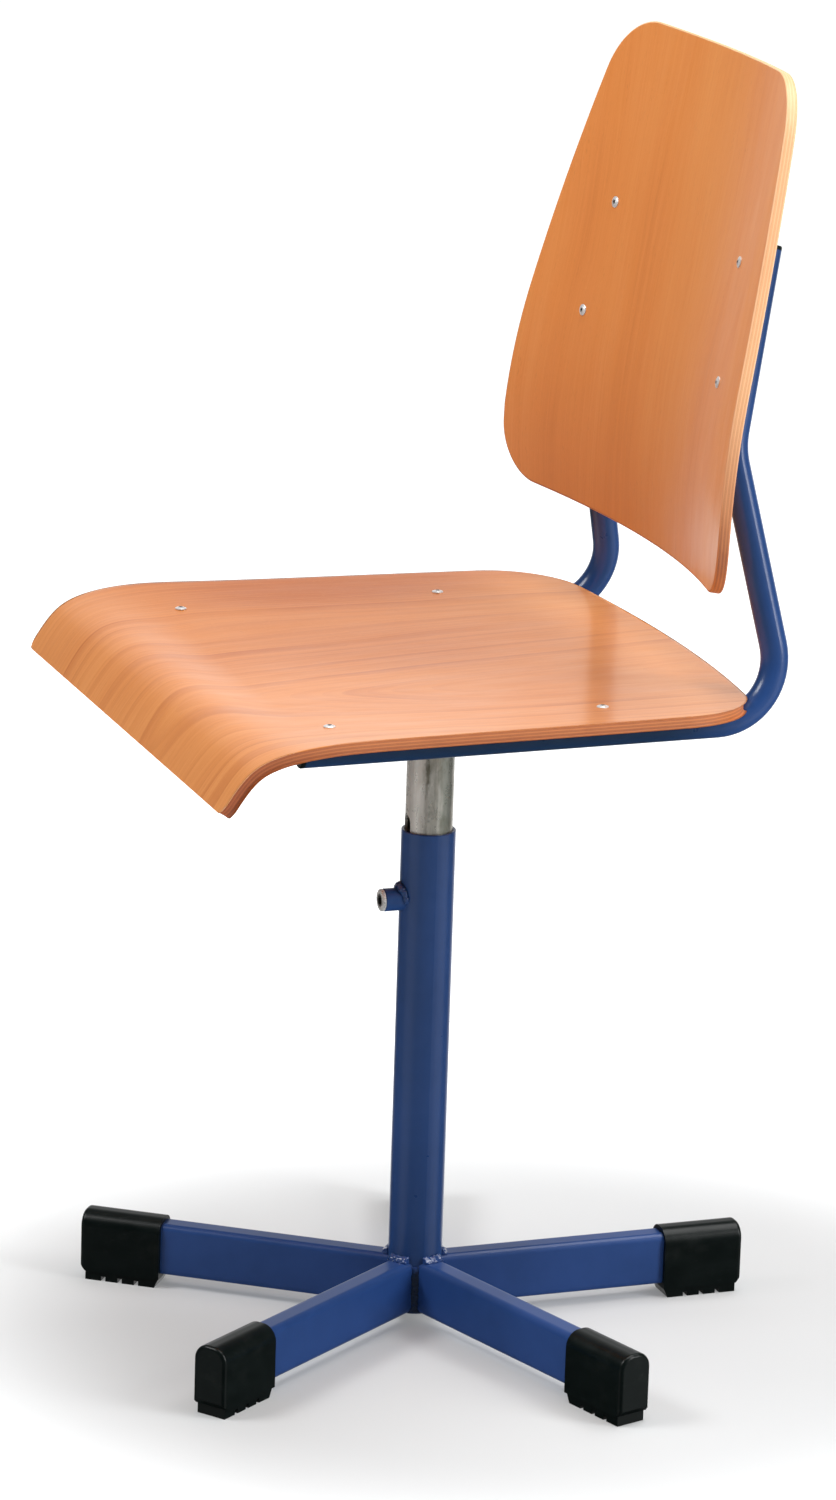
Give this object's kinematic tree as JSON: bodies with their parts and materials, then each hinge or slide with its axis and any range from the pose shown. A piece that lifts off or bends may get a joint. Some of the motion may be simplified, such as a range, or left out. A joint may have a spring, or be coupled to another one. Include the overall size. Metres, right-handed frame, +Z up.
{
  "type": "adjustable school chair",
  "caption": "Height adjustable school chair: moulded plywood seat and tall backrest on bent blue side tubes, a telescopic column with a clamp screw, and a star base of capped tube legs.",
  "frame": {"origin": "on the floor, under the axis of the column", "axes": "+Z up along the column, -Y towards the front of the seat, +X towards the sitter's left"},
  "size_m": [0.4964, 0.4939, 0.947],
  "materials": {
    "blue_paint": "gloss powder coat",
    "zinc_tube": "zinc plated tube, satin, stained by use",
    "black_plastic": "satin moulded polypropylene",
    "beech_plywood": "beech plywood, clear satin lacquer",
    "rivet_alloy": "bright",
    "plated_steel": "zinc plated"
  },
  "bodies": {
    "base": {"outer_column_tube": "blue_paint", "base_leg_rear": "blue_paint", "base_leg_right_rear": "blue_paint", "base_leg_right_front": "blue_paint", "base_leg_left_front": "blue_paint", "base_leg_left_rear": "blue_paint", "leg_cap_rear": "black_plastic", "leg_cap_right_rear": "black_plastic", "leg_cap_right_front": "black_plastic", "leg_cap_left_front": "black_plastic", "leg_cap_left_rear": "black_plastic", "base_leg_welds": "blue_paint", "clamp_sleeve": "blue_paint", "clamp_sleeve_weld": "blue_paint"},
    "seat_frame": {"inner_column_tube": "zinc_tube", "column_head_plate": "blue_paint", "crossbar_front": "blue_paint", "crossbar_rear": "blue_paint", "side_tube_left": "blue_paint", "side_tube_right": "blue_paint", "frame_welds": "blue_paint", "front_tube_plugs": "black_plastic", "top_tube_plugs": "black_plastic", "seat_shell": "beech_plywood", "backrest_shell": "beech_plywood", "seat_rivets": "rivet_alloy", "backrest_rivets": "rivet_alloy"},
    "clamp_screw": {"clamp_screw": "plated_steel"},
    "clamp_nut": {"clamp_nut": "plated_steel"}
  },
  "joints": [
    {"name": "height_slide", "type": "slide", "parent": "base", "child": "seat_frame", "axis": [0, 0, 1], "range_m": [-0.054, 0.065]},
    {"name": "clamp_screw_turn", "type": "hinge", "parent": "base", "child": "clamp_screw", "pos_m": [0, -0.0335, 0.3265], "axis": [0, -1, 0], "range_deg": [0, 360]},
    {"name": "clamp_nut_slide", "type": "slide", "parent": "base", "child": "clamp_nut", "axis": [0, 1, 0], "range_m": [0, 0.00149]}
  ],
  "couplings": [
    {"joint": "clamp_screw_turn", "follows": "clamp_nut_slide", "rad_per_m": 4188.8}
  ]
}
